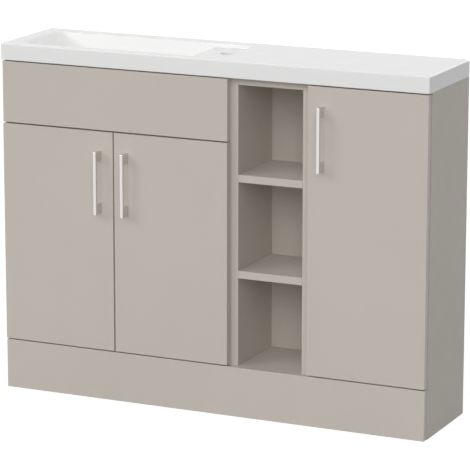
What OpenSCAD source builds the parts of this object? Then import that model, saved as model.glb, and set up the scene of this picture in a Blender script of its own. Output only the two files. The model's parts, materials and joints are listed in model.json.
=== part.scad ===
// Slimline basin and storage run for a bathroom: a basin unit with a fixed fascia over
// a pair of doors, an open shelf unit and a tall cupboard, all under one cast top.
// The pieces are laid out with x from the left end of the run, y back from the door
// faces and z up from the floor, then moved so that the origin is on the floor, midway
// along the run and midway between the handle fronts and the back of the top.

/* [Run] */
// Width of the basin unit
basin_unit_w = 600; // [590:1:900]
// Width of the open shelf unit
open_unit_w = 200; // [150:1:400]
// Width of the tall cupboard unit
store_unit_w = 300; // [250:1:500]
// Height of the finished top above the floor
worktop_z = 855; // [820:1:950]
// Depth from the door faces to the back of the side panels
run_d = 255; // [250:1:320]

/* [Boards] */
// Thickness of doors, sides, shelves, fascia and plinth
board_t = 18; // [15:0.5:20]
// Thickness of the back panels
back_t = 8; // [4:0.5:10]
// Depth of the pipe space between the back panels and the wall
pipe_void = 33.5; // [20:0.5:45]
// Depth of the grooves that hold the back panels
groove_d = 6; // [3:0.5:8]
// Height of the plinth board
plinth_h = 121; // [80:1:160]
// Height of the fixed fascia over the doors
fascia_h = 148.5; // [135:0.5:180]
// Gap between neighbouring fronts
front_gap = 3; // [2:0.5:5]
// Inset of the fronts from the edges of their unit
front_inset = 2; // [1:0.5:4]
// Stand-off between a closed door and the carcass edges
door_standoff = 1.5; // [1.3:0.1:3]
// Radius along the front edges of doors, fascia and plinth
front_edge_r = 1; // [0.5:0.5:3]
// Number of fixed shelves in the open unit
open_shelves = 2; // [2:1:4]
// Height of the rails across the basin unit
rail_h = 60; // [40:1:80]

/* [Cast top] */
// Thickness of the cast slab
slab_t = 40; // [34:1:55]
// Overhang of the slab past each end of the run
over_end = 1; // [0.5:0.5:10]
// Overhang of the slab in front of the door faces
over_front = 2; // [0.5:0.5:10]
// Overhang of the slab past the side panels towards the wall
over_wall = 1; // [0.5:0.5:5]
// Radius along the top edges of the slab
edge_r = 3; // [1:0.5:6]
// Radius of the slab corners seen from above
corner_r = 4; // [1:0.5:10]
// Rim between the end of the slab and the basin opening
rim_end = 41; // [36:1:60]
// Clearance between the bowl and the back of the fascia
bowl_clear_front = 1.5; // [1:0.5:6]
// Clearance between the bowl and the wall rail
bowl_clear_back = 7; // [4:0.5:14]
// Length of the basin opening with its tap ledge
opening_l = 528; // [430:1:540]
// Corner radius of the opening
opening_r = 14; // [6:1:24]
// Depth of the bowl below the top
bowl_depth = 90; // [60:1:100]
// Wall of the bowl
bowl_wall = 9; // [6:0.5:11]
// Run of the sloping end wall of the bowl
slope_run = 92; // [40:1:140]
// Radius round the floor of the bowl
floor_r = 24; // [12:1:30]
// Length of the tap ledge along the run
ledge_l = 96; // [80:1:140]
// Drop from the top to the tap ledge
ledge_drop = 10; // [4:0.5:14]
// Diameter of the tap hole
tap_hole_d = 35; // [30:0.5:38]
// Tap hole centre to the end wall of the opening
tap_from_end = 38; // [30:1:50]
// Tap hole centre to the back wall of the opening
tap_from_back = 71; // [45:1:100]
// Diameter of the waste hole
waste_hole_d = 45; // [40:1:50]
// Waste hole centre to the start of the tap ledge
waste_from_ledge = 87; // [70:1:150]
// Depth of the hollows cast in the underside of the slab
hollow_depth = 20; // [8:1:22]

/* [Handles] */
// Distance between the handle screws
handle_centres = 128; // [96:32:160]
// Height of each handle leg
leg_h = 25; // [14:1:30]
// Width of the handle bar
bar_w = 7.5; // [7:0.5:12]
// Thickness of the handle bar
bar_t = 7.5; // [6:0.5:10]
// Reach of the handle from the door face
handle_reach = 30; // [24:1:45]
// Handle centre to the meeting edge on the basin doors
handle_inset = 34; // [25:1:60]
// Handle centre to the opening edge on the tall door
store_handle_inset = 38; // [25:1:60]
// Top of the door to the top of the handle
handle_drop = 45; // [20:1:90]
// Diameter of the handle screws
handle_screw_d = 4; // [3:0.5:4.5]

/* [Hinges] */
// Diameter of the hinge cup
cup_d = 35; // [26:1:35]
// Depth of the hinge cup in the door
cup_depth = 11.5; // [10:0.5:12]
// Clear board between the cup and the door edge
cup_edge = 5; // [3:0.5:7]
// Hinge centre to the top or bottom edge of the door
hinge_end = 100; // [70:1:140]
// Hinge plate screws to the front edge of the side panel
plate_setback = 37; // [30:1:45]
// Distance between the two screws of a hinge plate
plate_pitch = 32; // [28:1:36]

/* [Shelf holes] */
// Number of shelves in the tall cupboard
store_shelves = 2; // [2:1:3]
// Distance between shelf holes
hole_pitch = 32; // [25:1:40]
// Shelf holes in each group
holes_per_group = 3; // [3:2:5]
// Diameter of the shelf pegs
peg_d = 5; // [4:0.5:6]

/* [Hidden] */

// Colours as the photograph shows them
lacquer = [0.73, 0.70, 0.67];
cast_white = [0.95, 0.95, 0.95];
chrome = [0.86, 0.87, 0.88];
steel = [0.70, 0.71, 0.73];
buffer_grey = [0.85, 0.86, 0.86];

round_fn = 48;
fine_fn = 32;
ov = 1;             // overlap of a cutter past the face that it opens
fit_gap = 0.1;      // clearance round a screw, cup or peg in its hole
run_gap = 0.3;      // clearance between pieces that move past each other
head_lap = 0.2;     // how far a screw's shank reaches into its own head
end_gap = 1;        // clear depth of a blind hole past the end of its screw

// Places along the run
open_x = basin_unit_w;
store_x = open_x + open_unit_w;
run_w = store_x + store_unit_w;

// Places from front to back
carcass_y = board_t + door_standoff;
back_y = run_d - pipe_void - back_t;
void_y = run_d - pipe_void;

// Places above the floor
carcass_top = worktop_z - slab_t;
floor_z = plinth_h - board_t;
door_z = plinth_h + front_gap;
front_top = carcass_top - front_gap;
fascia_z = front_top - fascia_h;
basin_door_top = fascia_z - front_gap;
pair_split = basin_unit_w / 2;

// Cast top
slab_x0 = -over_end;
slab_x1 = run_w + over_end;
slab_y0 = -over_front;
slab_y1 = run_d + over_wall;
bowl_x0 = slab_x0 + rim_end;
opening_x1 = bowl_x0 + opening_l;
ledge_x = opening_x1 - ledge_l;
bowl_y0 = carcass_y + bowl_clear_front + bowl_wall;
bowl_y1 = run_d - board_t - bowl_clear_back - bowl_wall;
ledge_z = worktop_z - ledge_drop;
bowl_floor_z = worktop_z - bowl_depth;
end_run = 20;       // run of the bowl's end wall under the tap ledge
side_run = 24;      // run of the bowl's front and back walls
waste_x = ledge_x - waste_from_ledge;
waste_y = (bowl_y0 + bowl_y1) / 2;
tap_x = opening_x1 - tap_from_end;
tap_y = bowl_y1 - tap_from_back;
waste_boss_h = 14;  // depth of the boss under the bowl
bowl_bottom_z = bowl_floor_z - bowl_wall - waste_boss_h;
waste_seat = 2;     // flat seat round the waste hole
waste_dish_d = 66;
waste_dish_depth = 3;

// Handles
handle_h = handle_centres + leg_h;
bar_corner_r = 1.5;
handle_screw_reach = 12;    // of the handle screws into the legs

// Spans of the doors and of the inside of each unit
left_span = [front_inset, pair_split - front_gap / 2];
right_span = [pair_split + front_gap / 2, basin_unit_w - front_inset];
store_span = [store_x + front_inset, run_w - front_inset];
basin_in = [board_t, basin_unit_w - board_t];
open_in = [open_x + board_t, store_x - board_t];
store_in = [store_x + board_t, run_w - board_t];
left_handle_x = left_span[1] - handle_inset;
right_handle_x = right_span[0] + handle_inset;
store_handle_x = store_span[0] + store_handle_inset;
basin_handle_top = basin_door_top - handle_drop;
store_handle_top = front_top - handle_drop;

// Hinges
cup_inset = cup_edge + cup_d / 2;
cup_wall = 1.2;
flange_t = 1.2;
flange_pitch = 45;  // between the two screws of a cup flange
cup_screw_d = 3.5;
cup_screw_len = 9;
cup_head_h = 1;
arm_w = 14;
arm_h = 15;         // from the mounting plate to the top of the arm
arm_wall = 1.5;
arm_heel = 12;      // from the plate screws to the front end of the plate
arm_toe = 14;       // from the plate screws to the back end of the arm
wing_w = 12;        // of the wings that the plate screws go through
plate_t = 2.5;
plate_screw_d = 5;
plate_screw_len = 11;
basin_hinge_zs = [door_z + hinge_end, basin_door_top - hinge_end];
store_hinge_zs = [door_z + hinge_end, front_top - hinge_end];
buffer_d = 8;
buffer_edge = 10;   // from the meeting edge of a door to its buffer
buffer_hinge = 40;  // from the hinge edge of a door to its buffer
buffer_end = 30;    // from the ends of the tall door to its buffers

// Shelves
open_space = (carcass_top - board_t - plinth_h - open_shelves * board_t) / (open_shelves + 1);
store_pitch = (carcass_top - plinth_h) / (store_shelves + 1);
shelf_gap = 0.5;    // between an adjustable shelf and the panels round it
shelf_setback = 14;
peg_inset = 32;     // from the front and back edges of a shelf to its pegs
peg_hole_depth = 9;
peg_nose = 9;       // how far a peg stands out under its shelf
peg_collar_t = 1.5;
peg_ys = [carcass_y + shelf_setback + peg_inset, back_y - peg_inset];
function peg_z(shelf) = plinth_h + shelf * store_pitch - (board_t + peg_d) / 2;

// Rails, openings, screws and brackets
rail_drop = 20;     // how far the front rail reaches below the fascia
wall_hole_d = 6;
wall_hole_inset = 60;
back_drop = 20;     // from the bottom of the bowl to the top of the back below it
pipe_cut_w = 300;
pipe_cut_h = 160;
pipe_cut_up = 300;
joining_d = 4;
joining_len = 2 * board_t - 4;
joining_front = 75; // from the front edges of the side panels
joining_back = 14;  // from the back panels
joining_low = 40;   // above the floors
joining_top = 110;  // below the cast top
joining_ys = [carcass_y + joining_front, back_y - joining_back];
joining_zs = [plinth_h + joining_low, carcass_top - joining_top];
bracket_leg = 22;
bracket_t = 2;
bracket_w = 16;
bracket_hole = 14;  // from the corner of a bracket to its screws
bracket_screw_d = 3.5;
bracket_screw_len = 12;
bracket_drop = 30;  // from the top of the fascia to its brackets
fascia_bracket_z = front_top - bracket_drop;
plinth_bracket_z = 50;

module lay_out() {
    translate([-run_w / 2, (handle_reach - slab_y1) / 2, 0])
        children();
}

// A board between two corners, whose x values come in either order
module board(xa, xb, y0, y1, z0, z1) {
    translate([min(xa, xb), y0, z0])
        cube([abs(xb - xa), y1 - y0, z1 - z0]);
}

// Points along an arc
function arc(cx, cy, r, a0, a1, n) =
    [for (i = [0:n]) let (a = a0 + (a1 - a0) * i / n) [cx + r * cos(a), cy + r * sin(a)]];

// A rectangle with a radius of its own at each corner, from the lower left round
function soft_rect(x0, y0, x1, y1, r, n = 6) = concat(
    r[0] > 0 ? arc(x0 + r[0], y0 + r[0], r[0], 180, 270, n) : [[x0, y0]],
    r[1] > 0 ? arc(x1 - r[1], y0 + r[1], r[1], 270, 360, n) : [[x1, y0]],
    r[2] > 0 ? arc(x1 - r[2], y1 - r[2], r[2], 0, 90, n) : [[x1, y1]],
    r[3] > 0 ? arc(x0 + r[3], y1 - r[3], r[3], 90, 180, n) : [[x0, y1]]);

// A profile in x and z drawn out along y
module along_y(y0, y1) {
    translate([0, y1, 0])
        rotate([90, 0, 0])
            linear_extrude(height = y1 - y0)
                children();
}

// A profile in y and z drawn out along x
module along_x(x0, x1) {
    translate([x0, 0, 0])
        rotate([90, 0, 90])
            linear_extrude(height = x1 - x0)
                children();
}

// A round bar or hole along y
module rod_y(x, y0, y1, z, d) {
    translate([x, y1, z])
        rotate([90, 0, 0])
            cylinder(h = y1 - y0, d = d, $fn = fine_fn);
}

// A round bar or hole along x, whose ends come in either order
module rod_x(xa, xb, y, z, d) {
    translate([min(xa, xb), y, z])
        rotate([0, 90, 0])
            cylinder(h = abs(xb - xa), d = d, $fn = fine_fn);
}

// A profile in x and y drawn up along z
module along_z(z0, z1) {
    translate([0, 0, z0])
        linear_extrude(height = z1 - z0)
            children();
}

// ---- Cast top ----

// The form of the bowl, grown by a wall for its outside
module bowl_form(grow, top_z) {
    r = opening_r + grow;
    fr = floor_r + grow;
    hull() {
        for (x = [bowl_x0 + opening_r, ledge_x - opening_r])
            for (y = [bowl_y0 + opening_r, bowl_y1 - opening_r])
                translate([x, y, top_z])
                    cylinder(h = 1, r = r, $fn = fine_fn);
        for (x = [bowl_x0 + slope_run + floor_r, ledge_x - end_run - floor_r])
            for (y = [bowl_y0 + side_run + floor_r, bowl_y1 - side_run - floor_r])
                translate([x, y, bowl_floor_z + floor_r])
                    sphere(r = fr, $fn = fine_fn);
    }
}

// The slab with its softened corners and top edges; the lower half of each edge
// profile lies below the slab, so that its underside stays square
module slab_form() {
    profile_z = carcass_top - slab_t;
    intersection() {
        along_z(carcass_top, worktop_z)
            polygon(soft_rect(slab_x0, slab_y0, slab_x1, slab_y1,
                [corner_r, corner_r, corner_r, corner_r]));
        along_x(slab_x0 - ov, slab_x1 + ov)
            polygon(soft_rect(slab_y0, profile_z, slab_y1, worktop_z,
                [edge_r, edge_r, edge_r, edge_r]));
        along_y(slab_y0 - ov, slab_y1 + ov)
            polygon(soft_rect(slab_x0, profile_z, slab_x1, worktop_z,
                [edge_r, edge_r, edge_r, edge_r]));
    }
}

// Hollows under the slab, one inside each unit to the right of the basin
module slab_hollows() {
    land = 6;           // bearing land inside each side panel
    for (span = [open_in, store_in])
        along_z(carcass_top - ov, carcass_top + hollow_depth)
            polygon(soft_rect(span[0] + land, carcass_y + rail_h + land, span[1] - land, void_y,
                [12, 12, 12, 12]));
}

// Tap ledge, cut across the right-hand end of the bowl to the end of the opening
module ledge_cut() {
    soft = 1;
    along_z(ledge_z, worktop_z + ov)
        polygon(soft_rect(ledge_x - 3 * opening_r, bowl_y0 + soft, opening_x1, bowl_y1 - soft,
            [2 * soft, opening_r, opening_r, 2 * soft]));
}

// Waste hole with its seat and the shallow dish round it
module waste_cut() {
    seat_d = waste_hole_d + 2 * waste_seat;
    flare = (waste_dish_d - seat_d) / waste_dish_depth;
    translate([waste_x, waste_y, bowl_bottom_z - ov])
        cylinder(h = bowl_floor_z - bowl_bottom_z + 2 * ov, d = waste_hole_d, $fn = round_fn);
    translate([waste_x, waste_y, bowl_floor_z - waste_dish_depth])
        cylinder(h = waste_dish_depth + ov, d1 = seat_d, d2 = waste_dish_d + flare * ov,
            $fn = round_fn);
}

module basin_top() {
    boss_d = waste_dish_d + 8;
    color(cast_white)
        lay_out()
            difference() {
                union() {
                    slab_form();
                    bowl_form(bowl_wall, carcass_top + slab_t / 3);
                    translate([waste_x, waste_y, bowl_bottom_z])
                        cylinder(h = bowl_floor_z - bowl_bottom_z, d = boss_d, $fn = round_fn);
                }
                bowl_form(0, worktop_z);
                ledge_cut();
                translate([tap_x, tap_y, carcass_top - ov])
                    cylinder(h = slab_t, d = tap_hole_d, $fn = round_fn);
                waste_cut();
                slab_hollows();
            }
}

// ---- Fronts ----

// A front board with its four front edges softened
module front_board(span, y0, z0, z1) {
    y1 = y0 + board_t;
    soft = front_edge_r;
    intersection() {
        along_x(span[0] - ov, span[1] + ov)
            polygon(soft_rect(y0, z0, y1, z1, [soft, 0, 0, soft], 3));
        along_z(z0 - ov, z1 + ov)
            polygon(soft_rect(span[0], y0, span[1], y1, [soft, soft, 0, 0], 3));
    }
}

function handle_screw_zs(top) = [top - leg_h / 2 - handle_centres, top - leg_h / 2];

// A door with the holes for its hinge cups, their screws and the handle screws
module door(span, z1, edge_x, toward, cup_zs, handle_x, handle_top) {
    cup_x = edge_x + toward * cup_inset;
    color(lacquer)
        lay_out()
            difference() {
                front_board(span, 0, door_z, z1);
                for (z = cup_zs) {
                    rod_y(cup_x, cup_y - fit_gap, board_t + ov, z, cup_d + 2 * fit_gap);
                    for (dz = [-1, 1])
                        rod_y(cup_x, board_t - cup_screw_len - end_gap, board_t + ov,
                            z + dz * flange_pitch / 2, cup_screw_d + 2 * fit_gap);
                }
                for (z = handle_screw_zs(handle_top))
                    rod_y(handle_x, -ov, board_t + ov, z, handle_screw_d + 2 * fit_gap);
            }
}

module left_door() {
    door(left_span, basin_door_top, left_span[0], 1, basin_hinge_zs, left_handle_x,
        basin_handle_top);
}

module right_door() {
    door(right_span, basin_door_top, right_span[1], -1, basin_hinge_zs, right_handle_x,
        basin_handle_top);
}

module store_door() {
    door(store_span, front_top, store_span[1], -1, store_hinge_zs, store_handle_x,
        store_handle_top);
}

// Blind holes in the back of a front board for the bracket screws in each span
module bracket_front_holes(spans, z) {
    for (span = spans)
        for (x = [span[0] + bracket_hole, span[1] - bracket_hole])
            rod_y(x, carcass_y - bracket_screw_len - end_gap, carcass_y + ov, z,
                bracket_screw_d + 2 * fit_gap);
}

module fascia() {
    color(lacquer)
        lay_out()
            difference() {
                front_board([front_inset, basin_unit_w - front_inset], door_standoff, fascia_z,
                    front_top);
                bracket_front_holes([basin_in], fascia_bracket_z);
            }
}

module plinth() {
    color(lacquer)
        lay_out()
            difference() {
                front_board([front_inset, run_w - front_inset], door_standoff, 0, plinth_h);
                bracket_front_holes([basin_in, open_in, store_in], plinth_bracket_z);
            }
}

// ---- Handles ----

// A flat D handle: the bar and both legs are one outline, drawn out to the bar width
module handle(x, top) {
    z0 = top - handle_h;
    r = bar_corner_r;
    outline = concat(
        [[0, z0], [0, z0 + leg_h]],
        arc(-handle_reach + bar_t + r, z0 + leg_h + r, r, 270, 180, 4),
        arc(-handle_reach + bar_t + r, top - leg_h - r, r, 180, 90, 4),
        [[0, top - leg_h], [0, top]],
        arc(-handle_reach + r, top - r, r, 90, 180, 4),
        arc(-handle_reach + r, z0 + r, r, 180, 270, 4));
    color(chrome)
        lay_out()
            difference() {
                along_x(x - bar_w / 2, x + bar_w / 2)
                    polygon(outline);
                for (z = handle_screw_zs(top))
                    rod_y(x, -handle_screw_reach - end_gap, ov, z,
                        handle_screw_d + 2 * fit_gap);
            }
}

// Pan head screws through the door from behind
module handle_screws(x, top) {
    color(steel)
        lay_out()
            for (z = handle_screw_zs(top)) {
                rod_y(x, -handle_screw_reach, board_t + head_lap, z, handle_screw_d);
                translate([x, board_t, z])
                    rotate([-90, 0, 0])
                        cylinder(h = 2.2, d1 = 9, d2 = 7, $fn = fine_fn);
            }
}

module left_handle() { handle(left_handle_x, basin_handle_top); }
module right_handle() { handle(right_handle_x, basin_handle_top); }
module store_handle() { handle(store_handle_x, store_handle_top); }
module left_handle_screws() { handle_screws(left_handle_x, basin_handle_top); }
module right_handle_screws() { handle_screws(right_handle_x, basin_handle_top); }
module store_handle_screws() { handle_screws(store_handle_x, store_handle_top); }

// ---- Concealed hinges ----

// One hinge is drawn at a left-hand side panel and mirrored for a right-hand one:
// u runs from the hinge edge across the door, z is from the centre of the hinge.
module hinge_place(edge_x, toward, zs) {
    for (z = zs)
        translate([edge_x, 0, z])
            if (toward > 0)
                children();
            else
                mirror([1, 0, 0])
                    children();
}

panel_u = board_t - front_inset;            // inner face of the side panel
plate_u = panel_u + plate_t;                // top of the mounting plate
plate_y = carcass_y + plate_setback;        // screws of the mounting plate
cup_y = board_t - cup_depth;                // closed end of the cup
flange_y = board_t + flange_t;              // face of the cup flange
nose_y = flange_y + cup_head_h + run_gap;   // nose of the arm over the closed cup

// Cup with its flange and the link pair folded into it, carried by the door
module hinge_cup() {
    pivot_u = cup_inset - cup_d / 2 + 8;
    link_y = cup_y + 5.5;
    link_w = 1.5;
    difference() {
        union() {
            rod_y(cup_inset, cup_y, flange_y, 0, cup_d);
            rod_y(cup_inset, board_t, flange_y, 0, cup_d + 3);
            along_y(board_t, flange_y)
                polygon(soft_rect(cup_inset - 5.5, -flange_pitch / 2 - 5.5, cup_inset + 5.5,
                    flange_pitch / 2 + 5.5, [5, 5, 5, 5]));
        }
        rod_y(cup_inset, cup_y + cup_wall, flange_y + ov, 0, cup_d - 2 * cup_wall);
        for (dz = [-1, 1])
            rod_y(cup_inset, board_t - ov, flange_y + ov, dz * flange_pitch / 2,
                cup_screw_d + 2 * fit_gap);
    }
    intersection() {
        rod_y(cup_inset, cup_y, flange_y, 0, cup_d - cup_wall);
        translate([pivot_u, link_y, -cup_d / 2])
            cylinder(h = cup_d, d = 2.4, $fn = fine_fn);
    }
    for (dz = [-4.5 - link_w, 4.5])
        along_z(dz, dz + link_w)
            union() {
                translate([pivot_u, link_y])
                    circle(r = 3, $fn = fine_fn);
                polygon([[pivot_u, link_y - 2.9], [pivot_u + 14, board_t - 4],
                    [pivot_u + 17, board_t - 2.5], [pivot_u + 16.5, board_t],
                    [pivot_u + 12, board_t + 0.4], [pivot_u, link_y + 2.9]]);
            }
}

// Pan head screw through the cup flange into the door
module cup_screw() {
    rod_y(cup_inset, board_t - cup_screw_len, flange_y + head_lap, 0, cup_screw_d);
    translate([cup_inset, flange_y, 0])
        rotate([-90, 0, 0])
            cylinder(h = cup_head_h, d1 = 7, d2 = 5, $fn = fine_fn);
}

// Channel arm on its mounting plate, carried by the side panel
module hinge_arm() {
    wing_z = (plate_pitch + wing_w) / 2;
    heel_y = plate_y - arm_heel;
    toe_y = plate_y + arm_toe;
    top_u = plate_u + arm_h;
    difference() {
        union() {
            board(panel_u, plate_u, heel_y, toe_y + 2, -wing_w / 2, wing_w / 2);
            along_x(panel_u, plate_u)
                polygon(soft_rect(plate_y - wing_w / 2, -wing_z, plate_y + wing_w / 2, wing_z,
                    [4, 4, 4, 4]));
        }
        for (dz = [-1, 1])
            rod_x(panel_u - ov, plate_u + ov, plate_y, dz * plate_pitch / 2,
                plate_screw_d + 2 * fit_gap);
    }
    difference() {
        along_z(-arm_w / 2, arm_w / 2)
            polygon([[plate_u, heel_y], [plate_u, toe_y], [top_u - 8, toe_y + 2],
                [top_u - 4, toe_y - 8], [top_u - 3, nose_y + 14], [top_u, nose_y + 4],
                [top_u - 1, nose_y], [plate_u + 3, nose_y], [plate_u + 3, nose_y + 10]]);
        along_z(arm_wall - arm_w / 2, arm_w / 2 - arm_wall)
            polygon([[plate_u - ov, heel_y + 6], [plate_u - ov, toe_y + 3],
                [top_u - 10, toe_y + 4], [top_u - 4 - arm_wall, toe_y - 9],
                [top_u - 3.2 - arm_wall, nose_y + 14], [top_u - 1 - arm_wall, nose_y - ov],
                [plate_u + 3 + arm_wall, nose_y - ov], [plate_u + 3 + arm_wall, nose_y + 12]]);
    }
    // adjusting screws in the back of the channel
    for (y = [heel_y + 4, toe_y - 9])
        rod_x(top_u - 5.4, top_u - 2.4, y, 0, 6.5);
}

// Pan head screw through the mounting plate into the side panel
module plate_screw() {
    rod_x(panel_u - plate_screw_len, plate_u + head_lap, plate_y, 0, plate_screw_d);
    translate([plate_u, plate_y, 0])
        rotate([0, 90, 0])
            cylinder(h = 1.6, d1 = 9, d2 = 7, $fn = fine_fn);
}

module hinge_cups(edge_x, toward, zs) {
    color(steel)
        lay_out()
            hinge_place(edge_x, toward, zs)
                hinge_cup();
}

module cup_screws(edge_x, toward, zs) {
    color(steel)
        lay_out()
            hinge_place(edge_x, toward, zs)
                for (dz = [-1, 1])
                    translate([0, 0, dz * flange_pitch / 2])
                        cup_screw();
}

module hinge_arms(edge_x, toward, zs) {
    color(steel)
        lay_out()
            hinge_place(edge_x, toward, zs)
                hinge_arm();
}

module plate_screws(edge_x, toward, zs) {
    hinge_place(edge_x, toward, zs)
        for (dz = [-1, 1])
            translate([0, 0, dz * plate_pitch / 2])
                plate_screw();
}

module left_hinge_cups() { hinge_cups(left_span[0], 1, basin_hinge_zs); }
module right_hinge_cups() { hinge_cups(right_span[1], -1, basin_hinge_zs); }
module store_hinge_cups() { hinge_cups(store_span[1], -1, store_hinge_zs); }
module left_cup_screws() { cup_screws(left_span[0], 1, basin_hinge_zs); }
module right_cup_screws() { cup_screws(right_span[1], -1, basin_hinge_zs); }
module store_cup_screws() { cup_screws(store_span[1], -1, store_hinge_zs); }
module left_hinge_arms() { hinge_arms(left_span[0], 1, basin_hinge_zs); }
module right_hinge_arms() { hinge_arms(right_span[1], -1, basin_hinge_zs); }
module store_hinge_arms() { hinge_arms(store_span[1], -1, store_hinge_zs); }

module hinge_plate_screws() {
    color(steel)
        lay_out() {
            plate_screws(left_span[0], 1, basin_hinge_zs);
            plate_screws(right_span[1], -1, basin_hinge_zs);
            plate_screws(store_span[1], -1, store_hinge_zs);
        }
}

// ---- Door buffers ----

// Soft discs on the back of a door, just short of the carcass edge that they close on
module buffers(places) {
    color(buffer_grey)
        lay_out()
            for (at = places)
                rod_y(at[0], board_t, carcass_y - run_gap, at[1], buffer_d);
}

rail_buffer_z = basin_door_top - 8;
module left_door_buffers() {
    buffers([
        [left_span[1] - buffer_edge, rail_buffer_z],
        [left_span[0] + buffer_hinge, rail_buffer_z]
    ]);
}
module right_door_buffers() {
    buffers([
        [right_span[0] + buffer_edge, rail_buffer_z],
        [right_span[1] - buffer_hinge, rail_buffer_z]
    ]);
}
module store_door_buffers() {
    edge_x = store_x + board_t / 2;
    buffers([[edge_x, door_z + buffer_end], [edge_x, front_top - buffer_end]]);
}

// ---- Side panels ----

// A side panel with the groove for its back panel and the hole for its plinth bracket;
// into is 1 where its unit lies to the right of the panel and -1 where it lies to the left
module side_panel(x, into) {
    face_x = into > 0 ? x + board_t : x;
    difference() {
        board(x, x + board_t, carcass_y, run_d, 0, carcass_top);
        board(face_x - into * groove_d, face_x + into * ov, back_y - fit_gap, void_y + fit_gap,
            floor_z - fit_gap, carcass_top + ov);
        bracket_side_hole(face_x, into, plinth_bracket_z);
        children();
    }
}

// Blind hole in an inner face for a bracket screw
module bracket_side_hole(face_x, into, z) {
    rod_x(face_x + into * ov, face_x - into * (bracket_screw_len + end_gap),
        carcass_y + bracket_hole, z, bracket_screw_d + 2 * fit_gap);
}

// Blind holes in an inner face for the screws of the hinge plates
module plate_holes(face_x, into, zs) {
    for (z = zs)
        for (dz = [-1, 1])
            rod_x(face_x + into * ov, face_x - into * (plate_screw_len + end_gap), plate_y,
                z + dz * plate_pitch / 2, plate_screw_d + 2 * fit_gap);
}

// Holes from xa to xb for the screws that join two units
module joining_holes(xa, xb) {
    for (y = joining_ys)
        for (z = joining_zs)
            rod_x(xa, xb, y, z, joining_d + 2 * fit_gap);
}

// Rows of shelf holes in an inner face of the tall cupboard
module shelf_holes(face_x, into) {
    for (y = peg_ys)
        for (shelf = [1:store_shelves])
            for (i = [0:holes_per_group - 1])
                rod_x(face_x + into * ov, face_x - into * peg_hole_depth, y,
                    peg_z(shelf) + (i - (holes_per_group - 1) / 2) * hole_pitch,
                    peg_d + 2 * fit_gap);
}

module basin_side_left() {
    color(lacquer)
        lay_out()
            side_panel(0, 1) {
                plate_holes(basin_in[0], 1, basin_hinge_zs);
                bracket_side_hole(basin_in[0], 1, fascia_bracket_z);
            }
}

module basin_side_right() {
    color(lacquer)
        lay_out()
            side_panel(basin_in[1], -1) {
                plate_holes(basin_in[1], -1, basin_hinge_zs);
                bracket_side_hole(basin_in[1], -1, fascia_bracket_z);
                joining_holes(basin_in[1] - ov, open_x + ov);
            }
}

module open_side_left() {
    color(lacquer)
        lay_out()
            side_panel(open_x, 1)
                joining_holes(open_x - ov, basin_in[1] + joining_len + end_gap);
}

module open_side_right() {
    color(lacquer)
        lay_out()
            side_panel(open_in[1], -1)
                joining_holes(store_x + ov, store_in[0] - joining_len - end_gap);
}

module store_side_left() {
    color(lacquer)
        lay_out()
            side_panel(store_x, 1) {
                joining_holes(store_x - ov, store_in[0] + ov);
                shelf_holes(store_in[0], 1);
            }
}

module store_side_right() {
    color(lacquer)
        lay_out()
            side_panel(store_in[1], -1) {
                plate_holes(store_in[1], -1, store_hinge_zs);
                shelf_holes(store_in[1], -1);
            }
}

// ---- Floors, tops, shelves, rails and backs ----

module floor_panel(span) {
    color(lacquer)
        lay_out()
            board(span[0], span[1], carcass_y, back_y, floor_z, plinth_h);
}

module basin_floor() { floor_panel(basin_in); }
module open_floor() { floor_panel(open_in); }
module store_floor() { floor_panel(store_in); }

// Rail behind the joint between the fascia and the doors
module basin_front_rail() {
    rail_z = fascia_z - rail_drop;
    color(lacquer)
        lay_out()
            board(basin_in[0], basin_in[1], carcass_y, carcass_y + board_t, rail_z,
                rail_z + rail_h);
}

// Rail that is screwed to the wall, with a fixing hole near each end
module wall_rail(span) {
    rail_z = carcass_top - rail_h;
    color(lacquer)
        lay_out()
            difference() {
                board(span[0], span[1], run_d - board_t, run_d, rail_z, carcass_top);
                for (x = [span[0] + wall_hole_inset, span[1] - wall_hole_inset])
                    rod_y(x, run_d - board_t - ov, run_d + ov, rail_z + rail_h / 2, wall_hole_d);
            }
}

module basin_wall_rail() { wall_rail(basin_in); }
module store_wall_rail() { wall_rail(store_in); }

// A back panel let into the grooves of its side panels
module back_panel(span, top) {
    board(span[0] - groove_d + fit_gap, span[1] + groove_d - fit_gap, back_y, void_y, floor_z,
        top);
}

// Back of the basin cupboard, below the bowl, with the opening for waste and supply pipes
module basin_back() {
    mid = (basin_in[0] + basin_in[1]) / 2;
    cut_z = plinth_h + pipe_cut_up;
    color(lacquer)
        lay_out()
            difference() {
                back_panel(basin_in, bowl_bottom_z - back_drop);
                along_y(back_y - ov, void_y + ov)
                    polygon(soft_rect(mid - pipe_cut_w / 2, cut_z, mid + pipe_cut_w / 2,
                        cut_z + pipe_cut_h, [12, 12, 12, 12]));
            }
}

module open_back() {
    color(lacquer)
        lay_out()
            back_panel(open_in, carcass_top);
}

module store_back() {
    color(lacquer)
        lay_out()
            back_panel(store_in, carcass_top);
}

module open_top() {
    color(lacquer)
        lay_out()
            board(open_in[0], open_in[1], carcass_y, back_y, carcass_top - board_t, carcass_top);
}

module open_shelf(i) {
    z = plinth_h + i * open_space + (i - 1) * board_t;
    color(lacquer)
        lay_out()
            board(open_in[0], open_in[1], carcass_y, back_y, z, z + board_t);
}

module open_shelf_lower() { open_shelf(1); }

module open_shelf_upper() {
    for (i = [2:open_shelves])
        open_shelf(i);
}

module store_top_rail() {
    color(lacquer)
        lay_out()
            board(store_in[0], store_in[1], carcass_y, carcass_y + rail_h,
                carcass_top - board_t, carcass_top);
}

// An adjustable shelf, resting on the noses of its four pegs
module store_shelf(i) {
    z = peg_z(i) + peg_d / 2;
    color(lacquer)
        lay_out()
            board(store_in[0] + shelf_gap, store_in[1] - shelf_gap, carcass_y + shelf_setback,
                back_y - shelf_gap, z, z + board_t);
}

module store_shelf_lower() { store_shelf(1); }

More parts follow.
